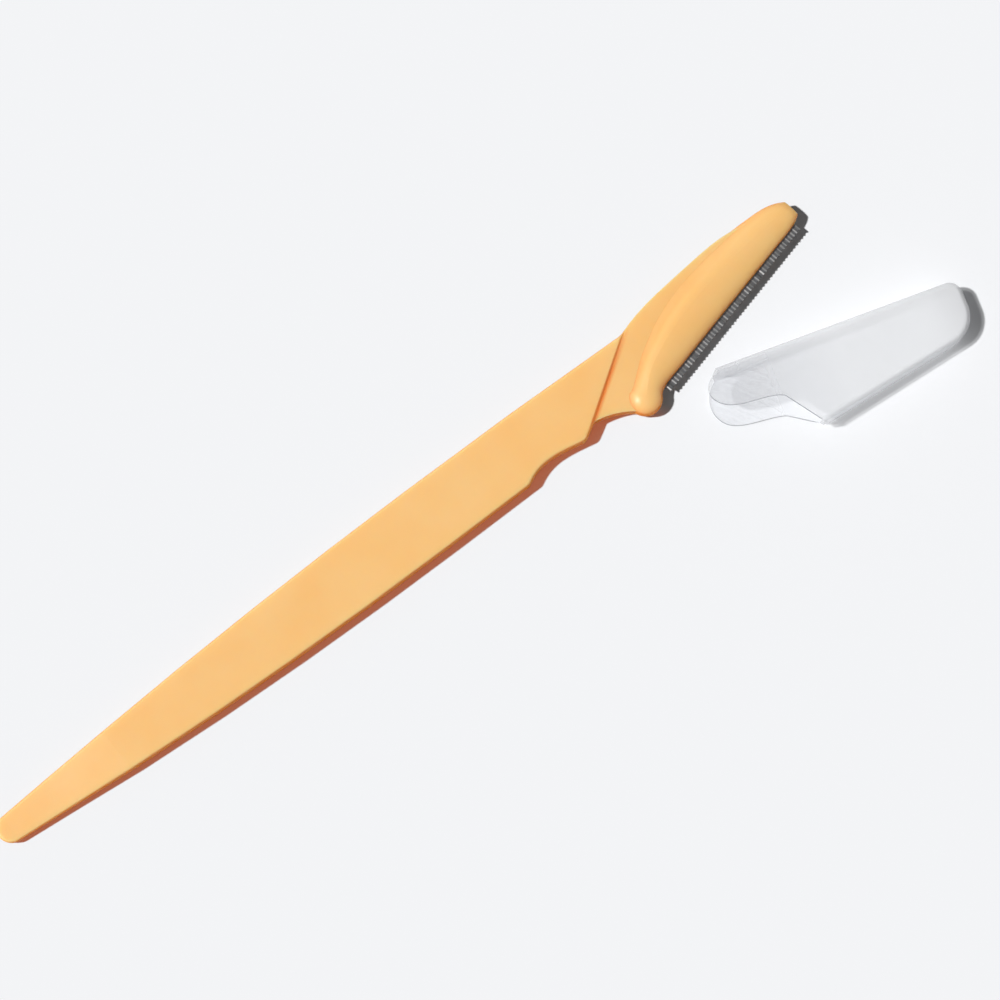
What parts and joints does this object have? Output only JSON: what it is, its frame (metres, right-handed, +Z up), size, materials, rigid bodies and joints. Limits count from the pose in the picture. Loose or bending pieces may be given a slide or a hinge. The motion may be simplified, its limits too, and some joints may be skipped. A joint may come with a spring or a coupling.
{
  "type": "eyebrow razor",
  "caption": "Slim plastic eyebrow razor lying flat, with a steel blade and slit foil guard along its angled head, and its clear cap lying beside it.",
  "frame": {"origin": "on the surface that razor and cap lie on, under the middle of their common box", "axes": "+X along the grip from tail to head, +Y towards the razor's back, away from the cutting edge, +Z up from the surface"},
  "size_m": [0.1502, 0.0316, 0.0066],
  "materials": {
    "orange_plastic": "moulded, satin",
    "blade_steel": "ground",
    "guard_foil": "bright rolled foil",
    "clear_plastic": "milky translucent"
  },
  "bodies": {
    "razor": {"handle": "orange_plastic", "blade": "blade_steel", "guard": "guard_foil"},
    "cap": {"cap": "clear_plastic"}
  },
  "joints": [
    {"name": "cap_pull", "type": "slide", "parent": "razor", "child": "cap", "axis": [0.9598, -0.2807, 0], "range_m": [0, 0.0384]}
  ]
}
